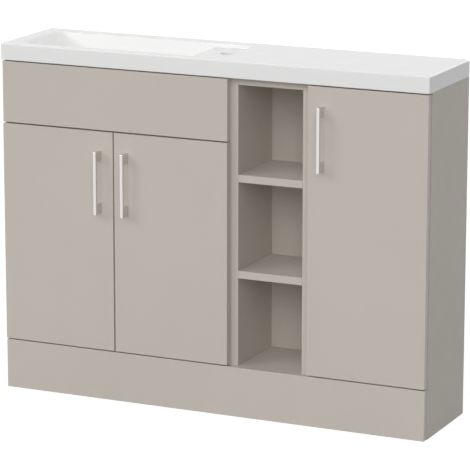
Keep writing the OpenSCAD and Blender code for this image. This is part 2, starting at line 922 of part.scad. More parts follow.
module store_shelf_upper() {
    for (i = [2:store_shelves])
        store_shelf(i);
}

// A peg sits in its hole up to a collar, with a flat on the collar beside the shelf end
module shelf_peg(face_x, into, y, z) {
    rod_x(face_x - into * (peg_hole_depth - end_gap), face_x + into * peg_nose, y, z, peg_d);
    difference() {
        rod_x(face_x, face_x + into * peg_collar_t, y, z, peg_d + 4);
        board(face_x - into * ov, face_x + into * (peg_collar_t + ov), y - peg_d, y + peg_d,
            z + peg_d / 2 - 2 * fit_gap, z + peg_d + ov);
    }
}

module shelf_pegs() {
    color(steel)
        lay_out()
            for (shelf = [1:store_shelves])
                for (y = peg_ys) {
                    shelf_peg(store_in[0], 1, y, peg_z(shelf));
                    shelf_peg(store_in[1], -1, y, peg_z(shelf));
                }
}

// ---- Screws between the units, and brackets ----

// Pan head screw from inside a cupboard into the side panel of the next unit
module joining_screw(face_x, out, y, z) {
    rod_x(face_x - out * head_lap, face_x + out * joining_len, y, z, joining_d);
    rod_x(face_x - out * 1.6, face_x, y, z, 2 * joining_d);
}

module joining_screws() {
    color(steel)
        lay_out()
            for (y = joining_ys)
                for (z = joining_zs) {
                    joining_screw(basin_in[1], 1, y, z);
                    joining_screw(store_in[0], -1, y, z);
                }
}

// Angle bracket between the inner face of a side panel and the back of a front board
module angle_bracket(face_x, into, z) {
    z0 = z - bracket_w / 2;
    z1 = z + bracket_w / 2;
    difference() {
        union() {
            board(face_x, face_x + into * bracket_t, carcass_y, carcass_y + bracket_leg, z0, z1);
            board(face_x, face_x + into * bracket_leg, carcass_y, carcass_y + bracket_t, z0, z1);
        }
        rod_x(face_x - into * ov, face_x + into * (bracket_t + ov), carcass_y + bracket_hole, z,
            bracket_screw_d + 2 * fit_gap);
        rod_y(face_x + into * bracket_hole, carcass_y - ov, carcass_y + bracket_t + ov, z,
            bracket_screw_d + 2 * fit_gap);
    }
}

// The two low head screws of an angle bracket, into the side panel and the front board
module bracket_screw_pair(face_x, into, z) {
    head = bracket_t + 1.5;
    y = carcass_y + bracket_hole;
    x = face_x + into * bracket_hole;
    rod_x(face_x - into * bracket_screw_len, face_x + into * head, y, z, bracket_screw_d);
    rod_x(face_x + into * bracket_t, face_x + into * head, y, z, 2 * bracket_screw_d);
    rod_y(x, carcass_y - bracket_screw_len, carcass_y + head, z, bracket_screw_d);
    rod_y(x, carcass_y + bracket_t, carcass_y + head, z, 2 * bracket_screw_d);
}

module fascia_brackets() {
    color(steel)
        lay_out()
            for (i = [0, 1])
                angle_bracket(basin_in[i], 1 - 2 * i, fascia_bracket_z);
}

module plinth_brackets() {
    color(steel)
        lay_out()
            for (span = [basin_in, open_in, store_in])
                for (i = [0, 1])
                    angle_bracket(span[i], 1 - 2 * i, plinth_bracket_z);
}

module bracket_screws() {
    color(steel)
        lay_out()
            for (i = [0, 1]) {
                bracket_screw_pair(basin_in[i], 1 - 2 * i, fascia_bracket_z);
                for (span = [basin_in, open_in, store_in])
                    bracket_screw_pair(span[i], 1 - 2 * i, plinth_bracket_z);
            }
}

basin_top();
fascia();
left_door();
right_door();
store_door();
plinth();
left_handle();
right_handle();
store_handle();
left_handle_screws();
right_handle_screws();
store_handle_screws();
left_hinge_cups();
right_hinge_cups();
store_hinge_cups();
left_cup_screws();
right_cup_screws();
store_cup_screws();
left_hinge_arms();
right_hinge_arms();
store_hinge_arms();
hinge_plate_screws();
left_door_buffers();
right_door_buffers();
store_door_buffers();
basin_side_left();
basin_side_right();
basin_floor();
basin_front_rail();
basin_wall_rail();
basin_back();
open_side_left();
open_side_right();
open_floor();
open_top();
open_shelf_lower();
open_shelf_upper();
open_back();
store_side_left();
store_side_right();
store_floor();
store_top_rail();
store_wall_rail();
store_back();
store_shelf_lower();
store_shelf_upper();
shelf_pegs();
joining_screws();
fascia_brackets();
plinth_brackets();
bracket_screws();
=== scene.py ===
"""Looks of a slimline basin and storage run: cast top, lacquered boards, chrome handles."""
import json
import math

import bmesh
import bpy
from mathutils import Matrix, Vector


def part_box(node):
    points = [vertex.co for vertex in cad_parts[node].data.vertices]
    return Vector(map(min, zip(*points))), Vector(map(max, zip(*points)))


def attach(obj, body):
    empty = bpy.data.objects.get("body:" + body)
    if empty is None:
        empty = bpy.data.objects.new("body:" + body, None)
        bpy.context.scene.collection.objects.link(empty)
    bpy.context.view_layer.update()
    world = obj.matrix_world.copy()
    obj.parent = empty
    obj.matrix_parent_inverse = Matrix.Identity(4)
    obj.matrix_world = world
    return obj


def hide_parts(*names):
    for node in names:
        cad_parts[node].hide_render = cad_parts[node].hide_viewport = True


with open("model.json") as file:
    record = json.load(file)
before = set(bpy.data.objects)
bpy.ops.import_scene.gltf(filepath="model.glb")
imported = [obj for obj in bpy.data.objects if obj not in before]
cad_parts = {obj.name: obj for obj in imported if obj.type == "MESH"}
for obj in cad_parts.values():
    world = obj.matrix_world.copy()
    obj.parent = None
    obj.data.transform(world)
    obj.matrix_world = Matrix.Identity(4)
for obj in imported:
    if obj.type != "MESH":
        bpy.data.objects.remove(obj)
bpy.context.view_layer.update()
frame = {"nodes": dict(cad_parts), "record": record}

MM = 0.001
FULL_TURN = 2 * math.pi
SCENE = bpy.context.scene
SCENE.view_settings.view_transform = "Standard"

# ---- Places read from the frame -------------------------------------------------------

TOP_OVERHANG = 1 * MM       # how far the cast top reaches past the side panels at each end
RUN_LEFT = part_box("basin_top")[0].x + TOP_OVERHANG
DOOR_FACE_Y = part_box("left_door")[0].y


def at(x, y, z):
    """A point given in millimetres from the left end of the run, the door faces and the floor."""
    return Vector((RUN_LEFT + x * MM, DOOR_FACE_Y + y * MM, z * MM))


def in_mm(point):
    """A point's place in the millimetres that at() takes."""
    return (point.x - RUN_LEFT) / MM, (point.y - DOOR_FACE_Y) / MM, point.z / MM


def box_in_mm(node):
    """The lowest and the highest corner of a CAD node, in millimetres."""
    return [[round(part, 2) for part in in_mm(corner)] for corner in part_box(node)]


def bore_in_mm(name):
    """The centre and the radius of a hole that the record states, in millimetres."""
    mount = next(item for item in frame["record"]["mounts"] if item["name"] == name)
    x, y, _ = in_mm(Vector(mount["pos_m"]))
    return (round(x, 2), round(y, 2)), mount["dims"]["r_mm"]


def body_of_node(node):
    """The body that a CAD node rides on."""
    for body, members in frame["record"]["behaviour"]["bodies"].items():
        if node in members:
            return body
    raise ValueError(node)


# ---- Camera, light and floor ----------------------------------------------------------

# The camera was solved from straight edges in the photograph
SENSOR_WIDTH = 36.0
LENS = 220.8
LENS_SHIFT = (0.0173, -0.0188)
CAMERA_PLACE = (2.8286, -6.0764, 1.9784)
CAMERA_DOWN = 12.973        # degrees below level
CAMERA_TURN = 25.0          # degrees to the right of straight in front
CLIP = (0.1, 200.0)

# The lamps: name, strength, softness in degrees, and the direction that each shines in
LAMPS = (("front_lamp", 0.43, 28, (0, 0.90, -0.42)),
         ("high_lamp", 0.42, 30, (0, 0.75, -0.70)),
         ("left_lamp", 0.95, 35, (0.62, 0.65, -0.48)),
         ("right_lamp", 0.50, 30, (-0.45, 0.85, -0.20)),
         ("upper_right_lamp", 0.43, 35, (-0.45, 0.70, -0.55)),
         ("top_lamp", 1.18, 60, (0, -0.50, -0.87)),
         ("rear_lamp", 0.95, 40, (-0.10, -1, -0.10)))

SURROUND_LIGHT = 0.10       # what the white surround gives the object
SURROUND_SHOWN = 1.0        # how bright it looks
FLOOR_HALF = 40.0
FLOOR_GREY = 0.42           # what the floor throws back onto the object
FLOOR_SHADED = 0.34         # the part of its look that a shadow takes away
FLOOR_GLOW = 0.80           # the part that stays


def make_camera():
    """The photograph's long lens, a little right of the front and above the top."""
    data = bpy.data.cameras.new("camera")
    data.sensor_width = SENSOR_WIDTH
    data.lens = LENS
    data.shift_x, data.shift_y = LENS_SHIFT
    data.clip_start, data.clip_end = CLIP
    camera = bpy.data.objects.new("camera", data)
    camera.location = CAMERA_PLACE
    camera.rotation_euler = (math.radians(90 - CAMERA_DOWN), 0, math.radians(CAMERA_TURN))
    SCENE.collection.objects.link(camera)
    SCENE.camera = camera


def make_lamp(name, strength, softness, toward):
    """A distant studio lamp that shines along a direction."""
    data = bpy.data.lights.new(name, "SUN")
    data.energy = strength
    data.angle = math.radians(softness)
    lamp = bpy.data.objects.new(name, data)
    lamp.rotation_mode = "QUATERNION"
    lamp.rotation_quaternion = Vector(toward).normalized().to_track_quat("-Z", "Y")
    SCENE.collection.objects.link(lamp)


def seen_directly(nodes, links):
    """1 for what the camera sees straight on, in a mirror or through glass, else 0."""
    path = nodes.new("ShaderNodeLightPath")
    first = nodes.new("ShaderNodeMath")
    first.operation = "MAXIMUM"
    second = nodes.new("ShaderNodeMath")
    second.operation = "MAXIMUM"
    links.new(path.outputs["Is Camera Ray"], first.inputs[0])
    links.new(path.outputs["Is Glossy Ray"], first.inputs[1])
    links.new(first.outputs[0], second.inputs[0])
    links.new(path.outputs["Is Transmission Ray"], second.inputs[1])
    return second.outputs[0]


def surface_of(nodes, links, lit_by, seen, out):
    """Ends a material that lights other things by one shader and is seen as another."""
    mix = nodes.new("ShaderNodeMixShader")
    links.new(seen_directly(nodes, links), mix.inputs[0])
    links.new(lit_by.outputs[0], mix.inputs[1])
    links.new(seen.outputs[0], mix.inputs[2])
    links.new(mix.outputs[0], out.inputs["Surface"])


def white_light(nodes, strength):
    """An even white background of a given strength."""
    light = nodes.new("ShaderNodeBackground")
    light.inputs["Color"].default_value = (1, 1, 1, 1)
    light.inputs["Strength"].default_value = strength
    return light


def make_world():
    """A white surround that lights the object less than it shows."""
    world = bpy.data.worlds.new("studio")
    world.use_nodes = True
    SCENE.world = world
    nodes, links = world.node_tree.nodes, world.node_tree.links
    nodes.clear()
    out = nodes.new("ShaderNodeOutputWorld")
    surface_of(nodes, links, white_light(nodes, SURROUND_LIGHT),
               white_light(nodes, SURROUND_SHOWN), out)


def grey_paint(nodes, grey):
    """An even matt grey."""
    paint = nodes.new("ShaderNodeBsdfDiffuse")
    paint.inputs["Color"].default_value = (grey, grey, grey, 1)
    return paint


def make_floor():
    """A pale floor that shows white and keeps the shadow under the run."""
    low, high = -FLOOR_HALF, FLOOR_HALF
    mesh = bpy.data.meshes.new("floor")
    mesh.from_pydata([(low, low, 0), (high, low, 0), (high, high, 0), (low, high, 0)], [],
                     [(0, 1, 2, 3)])
    floor = bpy.data.objects.new("floor", mesh)
    SCENE.collection.objects.link(floor)
    material = bpy.data.materials.new("pale_floor")
    material.use_nodes = True
    nodes, links = material.node_tree.nodes, material.node_tree.links
    nodes.clear()
    out = nodes.new("ShaderNodeOutputMaterial")
    glow = nodes.new("ShaderNodeEmission")
    glow.inputs["Strength"].default_value = FLOOR_GLOW
    both = nodes.new("ShaderNodeAddShader")
    links.new(grey_paint(nodes, FLOOR_SHADED).outputs[0], both.inputs[0])
    links.new(glow.outputs[0], both.inputs[1])
    surface_of(nodes, links, grey_paint(nodes, FLOOR_GREY), both, out)
    mesh.materials.append(material)


# ---- Finishes -------------------------------------------------------------------------

class Finish:
    """A material built on one principled shader, with textures in object coordinates.

    Noise scales are in waves per metre, and heights of relief in metres.
    """

    def __init__(self, name, colour, roughness, **constants):
        self.material = bpy.data.materials.new(name)
        self.material.use_nodes = True
        self.nodes = self.material.node_tree.nodes
        self.links = self.material.node_tree.links
        self.shader = self.nodes["Principled BSDF"]
        self.shader.inputs["Base Color"].default_value = (*colour, 1)
        self.shader.inputs["Roughness"].default_value = roughness
        for socket, value in constants.items():
            self.shader.inputs[socket.replace("_", " ")].default_value = value
        self.place = self.nodes.new("ShaderNodeTexCoord").outputs["Object"]
        self.relief = None

    def stretched(self, x, y, z):
        """The object coordinates, scaled by a factor on each axis."""
        mapping = self.nodes.new("ShaderNodeMapping")
        mapping.inputs["Scale"].default_value = (x, y, z)
        self.links.new(self.place, mapping.inputs["Vector"])
        return mapping.outputs["Vector"]

    def noise(self, scale, detail, rough=0.5, place=None):
        """A cloudy texture value from 0 to 1."""
        node = self.nodes.new("ShaderNodeTexNoise")
        node.inputs["Scale"].default_value = scale
        node.inputs["Detail"].default_value = detail
        node.inputs["Roughness"].default_value = rough
        self.links.new(place or self.place, node.inputs["Vector"])
        return node.outputs["Fac"]

    def cells(self, scale, place):
        """Distance from the middle of the nearest flake of a flaky texture."""
        node = self.nodes.new("ShaderNodeTexVoronoi")
        node.inputs["Scale"].default_value = scale
        self.links.new(place, node.inputs["Vector"])
        return node.outputs["Distance"]

    def ranged(self, value, low, high, start=0.3, end=0.7):
        """A texture value taken from start..end to low..high."""
        node = self.nodes.new("ShaderNodeMapRange")
        node.inputs["From Min"].default_value = start
        node.inputs["From Max"].default_value = end
        node.inputs["To Min"].default_value = low
        node.inputs["To Max"].default_value = high
        self.links.new(value, node.inputs["Value"])
        return node.outputs["Result"]

    def mixed(self, factor, colour_a, colour_b):
        """A colour between two, each of them a fixed one or another node's output."""
        node = self.nodes.new("ShaderNodeMix")
        node.data_type = "RGBA"
        for socket, colour in ((6, colour_a), (7, colour_b)):
            if isinstance(colour, tuple):
                node.inputs[socket].default_value = (*colour, 1)
            else:
                self.links.new(colour, node.inputs[socket])
        self.links.new(factor, node.inputs[0])
        return node.outputs[2]

    def colour_from(self, colour):
        self.links.new(colour, self.shader.inputs["Base Color"])

    def shade_drift(self, colour, texture, darkest, lightest=1.0):
        """Lets the colour drift between two factors of itself."""
        self.colour_from(self.mixed(self.ranged(texture, 0, 1), tint(colour, darkest),
                                    tint(colour, lightest)))

    def sheen_drift(self, texture, low, high):
        """Lets the roughness drift between two values."""
        self.links.new(self.ranged(texture, low, high), self.shader.inputs["Roughness"])

    def bump(self, texture, height, strength):
        """Adds a layer of relief on top of the layers already there."""
        node = self.nodes.new("ShaderNodeBump")
        node.inputs["Distance"].default_value = height
        node.inputs["Strength"].default_value = strength
        self.links.new(texture, node.inputs["Height"])
        if self.relief:
            self.links.new(self.relief, node.inputs["Normal"])
        self.relief = node.outputs["Normal"]
        self.links.new(self.relief, self.shader.inputs["Normal"])


def tint(colour, factor):
    """A colour made darker or lighter by a factor."""
    return tuple(part * factor for part in colour)


TAUPE = (0.545, 0.500, 0.450)
GEL_WHITE = (0.82, 0.82, 0.816)
CORE_BROWN = (0.43, 0.31, 0.19)
CORE_PALE = (0.58, 0.45, 0.29)
CORE_DARK = (0.25, 0.165, 0.09)
CHROME_GREY = (0.705, 0.69, 0.668)
NICKEL_GREY = (0.60, 0.60, 0.585)
CLOUDED_CLEAR = (0.78, 0.80, 0.80)


def satin_lacquer():
    """Sprayed satin lacquer: faint orange peel, slight drift of sheen and shade."""
    made = Finish("satin_lacquer", TAUPE, 0.34, Specular_IOR_Level=0.4)
    made.shade_drift(TAUPE, made.noise(5.0, 3.0), 0.985, 1.012)
    made.sheen_drift(made.noise(38.0, 3.0), 0.29, 0.38)
    made.bump(made.noise(210.0, 1.0), height=0.00006, strength=0.35)
    made.bump(made.noise(1500.0, 1.0), height=0.00001, strength=0.25)
    return made.material


def board_face():
    """Melamine face of the cabinet boards: a fine pearl texture, flatter than the lacquer."""
    made = Finish("melamine_face", TAUPE, 0.48, Specular_IOR_Level=0.34)
    made.shade_drift(TAUPE, made.noise(7.0, 3.0), 0.98, 1.012)
    made.sheen_drift(made.noise(55.0, 2.0), 0.43, 0.54)
    made.bump(made.noise(620.0, 2.0, 0.6), height=0.00004, strength=0.45)
    return made.material


def raw_core():
    """Cut particle board on the edges that face the wall and the floor."""
    made = Finish("particle_core", CORE_BROWN, 0.9)
    flakes = made.cells(620.0, made.stretched(1.0, 1.0, 0.55))
    pores = made.noise(900.0, 4.0, 0.7)
    pale = made.mixed(made.ranged(flakes, 0, 1, 0.1, 0.6), CORE_PALE, CORE_BROWN)
    made.colour_from(made.mixed(made.ranged(pores, 0, 1, 0.42, 0.62), CORE_DARK, pale))
    made.bump(pores, height=0.0004, strength=0.7)
    made.bump(flakes, height=0.0003, strength=0.5)
    return made.material


def gel_coat():
    """Gloss white gel coat over cast resin, barely uneven in shade, sheen and surface."""
    made = Finish("gel_coat", GEL_WHITE, 0.2, Specular_IOR_Level=0.34)
    made.shade_drift(GEL_WHITE, made.noise(4.0, 2.0), 0.988)
    made.sheen_drift(made.noise(9.0, 2.0), 0.18, 0.23)
    made.bump(made.noise(9.0, 1.0), height=0.0004, strength=0.06)
    return made.material


def polished_chrome():
    """Plated bar handle: near mirror, with faint wiping marks along its length."""
    made = Finish("polished_chrome", CHROME_GREY, 0.1, Metallic=1.0)
    wiped = made.noise(240.0, 3.0, 0.6, made.stretched(1.0, 1.0, 0.06))
    made.sheen_drift(wiped, 0.07, 0.17)
    made.bump(wiped, height=0.00001, strength=0.25)
    return made.material


def plated_steel():
    """Nickel plated fittings: soft mirror with a fine barrelled grain."""
    made = Finish("plated_steel", NICKEL_GREY, 0.3, Metallic=1.0)
    made.shade_drift(NICKEL_GREY, made.noise(60.0, 2.0), 0.93)
    grain = made.noise(1300.0, 3.0, 0.6)
    made.sheen_drift(grain, 0.24, 0.38)
    made.bump(grain, height=0.00002, strength=0.3)
    return made.material


def soft_plastic():
    """Clear soft plastic of the door buffers, slightly clouded."""
    made = Finish("soft_plastic", CLOUDED_CLEAR, 0.32, IOR=1.46, Transmission_Weight=0.55)
    made.sheen_drift(made.noise(700.0, 2.0), 0.26, 0.42)
    made.bump(made.noise(1100.0, 2.0), height=0.00002, strength=0.3)
    return made.material


# ---- Meshes ---------------------------------------------------------------------------

MERGE = 1e-6                        # points nearer than this are one point
FLAT_ANGLE = math.radians(0.5)      # faces that meet at less than this are one flat
SMOOTH_ANGLE = math.radians(38)     # faces that meet at less than this look like one surface
CORNER_ANGLE = math.radians(60)     # edges that turn by more than this are softened


def new_object(name, mesh):
    """An object in the scene, at the origin, with a mesh of the same name."""
    made = bpy.data.objects.new(name, mesh)
    SCENE.collection.objects.link(made)
    return made


def plain_mesh(made):
    """Bakes an object's modifiers into its mesh."""
    bpy.context.view_layer.update()
    graph = bpy.context.evaluated_depsgraph_get()
    mesh = bpy.data.meshes.new_from_object(made.evaluated_get(graph), depsgraph=graph)
    made.modifiers.clear()
    made.data = mesh
    return made


def shade(mesh):
    """Smooth faces, with an edge kept wherever two of them meet at a real angle."""
    mesh.shade_smooth()
    mesh.set_sharp_from_angle(angle=SMOOTH_ANGLE)


def weigh_normals(made):
    """Keeps large flats flat beside their softened edges."""
    weighted = made.modifiers.new("flats", "WEIGHTED_NORMAL")
    weighted.keep_sharp = True
    weighted.weight = 100       # the most, so that the largest face leads
    return plain_mesh(made)


def give(made, node):
    """Puts a piece in the place of a CAD node, on the same body."""
    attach(made, body_of_node(node))
    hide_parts(node)


def merged(mesh):
    """A bmesh of a mesh with its loose triangles joined."""
    bm = bmesh.new()
    bm.from_mesh(mesh)
    bmesh.ops.remove_doubles(bm, verts=bm.verts, dist=MERGE)
    return bm


def merged_copy(node):
    """A bmesh of a CAD node with its loose triangles joined and its flats made whole."""
    bm = merged(frame["nodes"][node].data)
    bmesh.ops.dissolve_limit(bm, angle_limit=FLAT_ANGLE, verts=bm.verts, edges=bm.edges,
                             use_dissolve_boundaries=False)
    bm.normal_update()
    return bm


def soften(bm, radius, segments, shortest):
    """Rounds the long outer corners of a solid."""
    corners = [e for e in bm.edges if len(e.link_faces) == 2 and e.is_convex
               and e.calc_length() > shortest and e.calc_face_angle(0) > CORNER_ANGLE]
    bmesh.ops.bevel(bm, geom=corners, offset=radius, offset_type="OFFSET", segments=segments,
                    profile=0.5, affect="EDGES", clamp_overlap=False)


def points_box(points):
    """The lowest and the highest corner of the box round some points."""
    low = Vector(min(p[i] for p in points) for i in range(3))
    high = Vector(max(p[i] for p in points) for i in range(3))
    return low, high


def solids_of(node):
    """The points of each separate solid in a CAD node, sorted by place."""
    bm = merged(frame["nodes"][node].data)
    left = set(bm.verts)
    found = []
    while left:
        start = min(left, key=lambda v: v.index)
        group, queue = {start}, [start]
        while queue:
            for edge in queue.pop().link_edges:
                for vert in edge.verts:
                    if vert not in group:
                        group.add(vert)
                        queue.append(vert)
        left -= group
        found.append([v.co.copy() for v in group])
    bm.free()
    return sorted(found, key=lambda points: tuple(points_box(points)[0]))


# ---- Cast top: sizes ------------------------------------------------------------------

# All in millimetres: x from the left end of the run, y from the door faces, z from the floor
TOP_LOW, TOP_HIGH = box_in_mm("basin_top")
SLAB = dict(x0=TOP_LOW[0], x1=TOP_HIGH[0], y0=TOP_LOW[1], y1=TOP_HIGH[1])
SLAB_TOP = TOP_HIGH[2]
SLAB_UNDER = box_in_mm("basin_side_left")[1][2]
SLAB_CORNER_R = 4
SLAB_TOP_R = 3
SLAB_UNDER_R = 1.5

OPENING = dict(x0=40, x1=568, y0=30, y1=221)
OPENING_R = 14
RIM_R = 2.5
LEDGE_X = 472               # where the tap ledge starts and the bowl ends
LEDGE_DROP = 10
LEDGE_Z = SLAB_TOP - LEDGE_DROP
TAP, TAP_R = bore_in_mm("tap_hole")
TAP_LIP = 6

BOWL = dict(OPENING, x1=LEDGE_X)
BOWL_DEPTH = 90
BOWL_FLOOR = SLAB_TOP - BOWL_DEPTH
BOWL_WALL = 9
FLOOR_R = 24                # radius between the bowl's walls and its floor
END_SLOPE_RUN = 92
LEDGE_END_RUN = 20
SIDE_RUN = 24
OUTER_TOP_DEPTH = 26.67     # the outside of the bowl starts this far below the top
WASTE, WASTE_R = bore_in_mm("waste_hole")
DISH_R = 33
DISH_DEPTH = 3
BOSS_R = 37
BOSS_UNDER = TOP_LOW[2]

POCKET_DEPTH = 20
POCKET_R = 12
POCKET_LAND = 6             # bearing land between a hollow and the panels round it

SOFTENING = 1.75            # spacing of a corner's neighbour rings for a softening radius of 1
CORNER_PULL = 1.146         # lets a corner of three points keep its radius when it is smoothed
CHAMFER = 0.6               # where a corner of two points starts, in parts of its radius
PARTS_FRONT = (0, 0.14, 0.31, 0.48, 0.62, 0.74, 0.83, 0.91, 0.965, 1)
PARTS_END = (0, 0.2, 0.4, 0.6, 0.8, 1)
LEDGE_XS = (LEDGE_X + 6, TAP[0] - 24, TAP[0], OPENING["x1"] - OPENING_R)
LEDGE_BORDERS = (2.6, 6.5)  # rings of the ledge's level border, from its walls inwards
UNDER_BORDERS = (2.5, 6)    # rings of the level border round the bowl, under the slab
FLOOR_PARTS = (0.12, 0.6)   # rings on the bowl's floor, from its edge to the dish
BELOW_PARTS = (0.45, 0.9)   # rings under that floor, from the boss to the outside's edge


# ---- Cast top: rings ------------------------------------------------------------------

class Shell:
    """Rings of points joined by bands of four-sided faces, the cage of a smooth surface."""

    def __init__(self):
        self.points = []
        self.faces = []

    def ring(self, points):
        """Adds a ring of points and gives their numbers."""
        start = len(self.points)
        self.points += points
        return list(range(start, len(self.points)))

    def at_ring(self, ring):
        """The points of a ring given by their numbers."""
        return [self.points[index] for index in ring]

    def bands(self, rings):
        """Joins each ring to the next one."""
        for ring_a, ring_b in zip(rings, rings[1:]):
            count = len(ring_a)
            for i in range(count):
                j = (i + 1) % count
                self.faces.append((ring_a[i], ring_a[j], ring_b[j], ring_b[i]))


def spread(a, b, parts):
    """Values from a to b, at the given parts of the way."""
    return [a + (b - a) * part for part in parts]


def corner_cut(r):
    """How far in from both sides the middle point of a corner of three points lies."""
    return r - r * CORNER_PULL * math.sqrt(0.5)


def rounded_ring(xs, ys, x0, x1, y0, y1, r):
    """Points round a rectangle with rounded corners, from the front left, front side first."""
    cut = corner_cut(r)
    return ([(x, y0) for x in xs] + [(x1 - cut, y0 + cut)]
            + [(x1, y) for y in ys] + [(x1 - cut, y1 - cut)]
            + [(x, y1) for x in reversed(xs)] + [(x0 + cut, y1 - cut)]
            + [(x0, y) for y in reversed(ys)] + [(x0 + cut, y0 + cut)])


def soft_rectangle(x0, x1, y0, y1, r, parts_x, parts_y):
    """A rounded ring with its side points at given parts of each side."""
    return rounded_ring(spread(x0 + r, x1 - r, parts_x), spread(y0 + r, y1 - r, parts_y),
                        x0, x1, y0, y1, r)


def circle(centre, radius, angles):
    """Points round a circle, set out so that the smoothed ring keeps the radius."""
    pull = 3 / (2 + math.cos(FULL_TURN / len(angles)))
    return [(centre[0] + pull * radius * math.cos(a), centre[1] + pull * radius * math.sin(a))
            for a in angles]


def level(points, z):
    """Points of a plan, all at one height."""
    return [at(x, y, z) for x, y in points]


def grown(shape, amount):
    """A plan made larger on every side."""
    return dict(x0=shape["x0"] - amount, x1=shape["x1"] + amount, y0=shape["y0"] - amount,
                y1=shape["y1"] + amount)


def between(points_a, points_b, part):
    """A ring a part of the way from one ring to another."""
    return [a.lerp(b, part) for a, b in zip(points_a, points_b)]


def pushed_out(points, amount):
    """A level ring moved outwards by a number of millimetres."""
    count = len(points)
    moved = []
    for i, point in enumerate(points):
        along = points[(i + 1) % count] - points[i - 1]
        out = Vector((along.y, -along.x, 0)).normalized()
        moved.append(point + out * amount * MM)
    return moved


def round_angles(points, centre, evenness=0.75):
    """An angle round a centre for each point of a ring, evened out and in the same order."""
    count = len(points)
    middle = at(*centre, 0)
    angles = []
    for point in points:
        angle = math.atan2(point.y - middle.y, point.x - middle.x)
        while angles and angle < angles[-1] - math.pi:
            angle += FULL_TURN
        angles.append(angle)
    offset = sum(a - i * FULL_TURN / count for i, a in enumerate(angles)) / count
    return [(1 - evenness) * a + evenness * (offset + i * FULL_TURN / count)
            for i, a in enumerate(angles)]


# ---- Cast top: bowl -------------------------------------------------------------------

class Wall:
    """One wall of the bowl, inside or outside: a straight slope that ends in an arc on its floor.

    Each place on it is an inset from the wall's start and a depth below that start.
    """

    def __init__(self, run, drop, radius):
        self.run, self.drop, self.radius = run, drop, radius
        self.slope = math.atan2(drop, run) + math.asin(radius / math.hypot(run, drop))
        length = math.sqrt(run * run + drop * drop - radius * radius)
        self.arc_drop = length * math.sin(self.slope)

    def at_drop(self, drop):
        """On the slope, at a depth in millimetres."""
        return drop / math.tan(self.slope), drop

    def on_slope(self, part):
        """On the slope, from the height of the tap ledge, 0, to the start of the arc, 1."""
        return self.at_drop(LEDGE_DROP + part * (self.arc_drop - LEDGE_DROP))

    def on_arc(self, part):
        """On the arc, from the slope, 0, to the floor, 1."""
        angle = self.slope * (1 - part)
        return self.run - self.radius * math.sin(angle), self.drop + self.radius * math.cos(angle)


# Rows of points down the inside of the bowl and up its outside: where each row lies on its
# walls, and the radius of its corners, widest where the slopes end
INSIDE_ROWS = ((Wall.on_slope, 0.07, 17), (Wall.on_slope, 0.3, 26), (Wall.on_slope, 0.65, 37),
               (Wall.on_slope, 1, 44), (Wall.on_arc, 0.33, 38), (Wall.on_arc, 0.66, 29),
               (Wall.on_arc, 1, 19))
OUTSIDE_DEPTH = SLAB_TOP - OUTER_TOP_DEPTH - SLAB_UNDER
OUTSIDE_ROWS = ((Wall.on_arc, 1, 12), (Wall.on_arc, 0.66, 22), (Wall.on_arc, 0.33, 30),
                (Wall.on_arc, 0, 34), (Wall.at_drop, OUTSIDE_DEPTH + 3, 26),
                (Wall.at_drop, OUTSIDE_DEPTH, 24))


def bowl_walls(radius, grow, drop):
    """The four walls of the bowl: sloping end, ledge end, and the side walls."""
    return dict(slope=Wall(END_SLOPE_RUN + FLOOR_R + grow, drop, radius),
                ledge=Wall(LEDGE_END_RUN + FLOOR_R + grow, drop, radius),
                side=Wall(SIDE_RUN + FLOOR_R + grow, drop, radius))


def bowl_ring(walls, plan, top_z, place, amount, corner_r):
    """A closed ring round the bowl, at a place on its walls that a method of Wall gives."""
    end, ledge, side = (place(walls[name], amount) for name in ("slope", "ledge", "side"))
    x0 = plan["x0"] + end[0]
    x1 = plan["x1"] - ledge[0]
    y0 = plan["y0"] + side[0]
    y1 = plan["y1"] - side[0]
    z_end, z_ledge, z_side = (top_z - wall[1] for wall in (end, ledge, side))
    z_corner = (z_end + z_side) / 2
    cut = corner_cut(corner_r)
    xs = spread(x0 + corner_r, x1 - CHAMFER * corner_r, PARTS_FRONT)
    ledge_ys = spread(y0 + CHAMFER * corner_r, y1 - CHAMFER * corner_r, PARTS_END)
    end_ys = spread(y0 + corner_r, y1 - corner_r, PARTS_END)
    return ([at(x, y0, z_side) for x in xs] + [at(x1, y, z_ledge) for y in ledge_ys]
            + [at(x, y1, z_side) for x in reversed(xs)] + [at(x0 + cut, y1 - cut, z_corner)]
            + [at(x0, y, z_end) for y in reversed(end_ys)] + [at(x0 + cut, y0 + cut, z_corner)])


def opening_ring(walls, grow, drop):
    """A ring round the whole opening, with its tap ledge, at a drop below the top."""
    inset_end = walls["slope"].at_drop(drop)[0]
    inset_side = walls["side"].at_drop(drop)[0]
    x0 = OPENING["x0"] + inset_end - grow
    x1 = OPENING["x1"] + grow
    y0 = OPENING["y0"] + inset_side - grow
    y1 = OPENING["y1"] - inset_side + grow
    r = OPENING_R + grow
    bowl_end = LEDGE_X - walls["ledge"].at_drop(LEDGE_DROP)[0] - CHAMFER * OPENING_R
    xs = spread(x0 + r, bowl_end, PARTS_FRONT) + list(LEDGE_XS)
    ys = spread(y0 + r, y1 - r, PARTS_END)
    return level(rounded_ring(xs, ys, x0, x1, y0, y1, r), SLAB_TOP - drop)


def ledge_step(index, wall_points, x):
    """How far a point of the ledge's outline moves in, in x and in y, for each mm of border."""
    from_bowl, from_meeting, beside_meeting = 1.7, 2.4, 1.3
    diagonal = 0.7
    if index >= wall_points:                    # on the edge of the bowl
        return from_bowl, 0
    if index in (0, wall_points - 1):           # where the walls meet that edge
        return from_meeting, 1
    if index in (1, wall_points - 2):
        return beside_meeting, 1
    if x > OPENING["x1"] - 1:                   # along the end wall
        return -1, 0
    if x > OPENING["x1"] - OPENING_R + 1:       # in its two corners
        return -diagonal, diagonal
    return 0, 1


